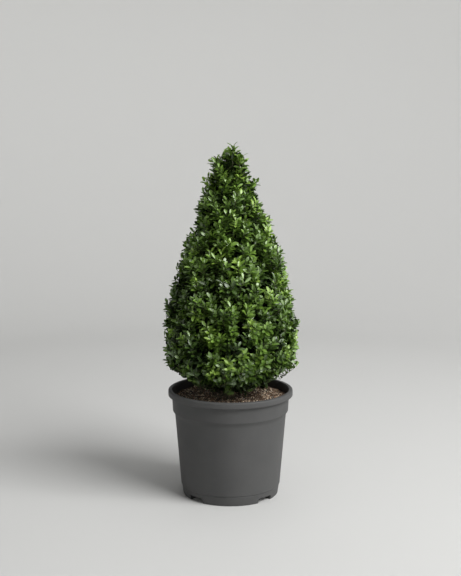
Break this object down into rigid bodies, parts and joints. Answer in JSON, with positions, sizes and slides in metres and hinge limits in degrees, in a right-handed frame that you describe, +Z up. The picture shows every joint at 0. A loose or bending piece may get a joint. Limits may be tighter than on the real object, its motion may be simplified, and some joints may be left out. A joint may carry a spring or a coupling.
{
  "type": "boxwood cone topiary in a nursery pot",
  "caption": "Small-leaved evergreen box shrub clipped to an egg-footed cone, growing on a short woody stem in a round dark grey plastic nursery pot with a rolled lip.",
  "frame": {"origin": "middle of the pot's flat underside, which is the surface that it stands on", "axes": "+Z is up along the axis of the pot and the cone, +X is to the right of a viewer in front, and -Y is the front"},
  "size_m": [0.2652, 0.264, 0.676],
  "materials": {
    "pot_plastic": "satin",
    "potting_mix": "matte",
    "bark": "matte",
    "old_leaf": "satin",
    "mid_leaf": "satin",
    "young_leaf": "satin"
  },
  "bodies": {
    "root": {"pot": "pot_plastic", "potting_soil": "potting_mix", "stem": "bark", "bough_lower_1": "bark", "bough_lower_2": "bark", "bough_lower_3": "bark", "bough_lower_4": "bark", "bough_lower_5": "bark", "bough_lower_6": "bark", "bough_skirt_1": "bark", "bough_skirt_2": "bark", "bough_skirt_3": "bark", "bough_skirt_4": "bark", "bough_skirt_5": "bark", "bough_skirt_6": "bark", "bough_top_1": "bark", "bough_top_2": "bark", "bough_top_3": "bark", "bough_top_4": "bark", "bough_upper_1": "bark", "bough_upper_2": "bark", "bough_upper_3": "bark", "bough_upper_4": "bark", "bough_upper_5": "bark", "foliage_leader": "young_leaf", "foliage_lower_1": "old_leaf", "foliage_lower_2": "old_leaf", "foliage_lower_3": "old_leaf", "foliage_lower_4": "old_leaf", "foliage_lower_5": "old_leaf", "foliage_lower_6": "old_leaf", "foliage_skirt_1": "old_leaf", "foliage_skirt_2": "old_leaf", "foliage_skirt_3": "old_leaf", "foliage_skirt_4": "old_leaf", "foliage_skirt_5": "old_leaf", "foliage_skirt_6": "old_leaf", "foliage_top_1": "young_leaf", "foliage_top_2": "young_leaf", "foliage_top_3": "young_leaf", "foliage_top_4": "young_leaf", "foliage_upper_1": "mid_leaf", "foliage_upper_2": "mid_leaf", "foliage_upper_3": "mid_leaf", "foliage_upper_4": "mid_leaf", "foliage_upper_5": "mid_leaf"}
  },
  "joints": []
}
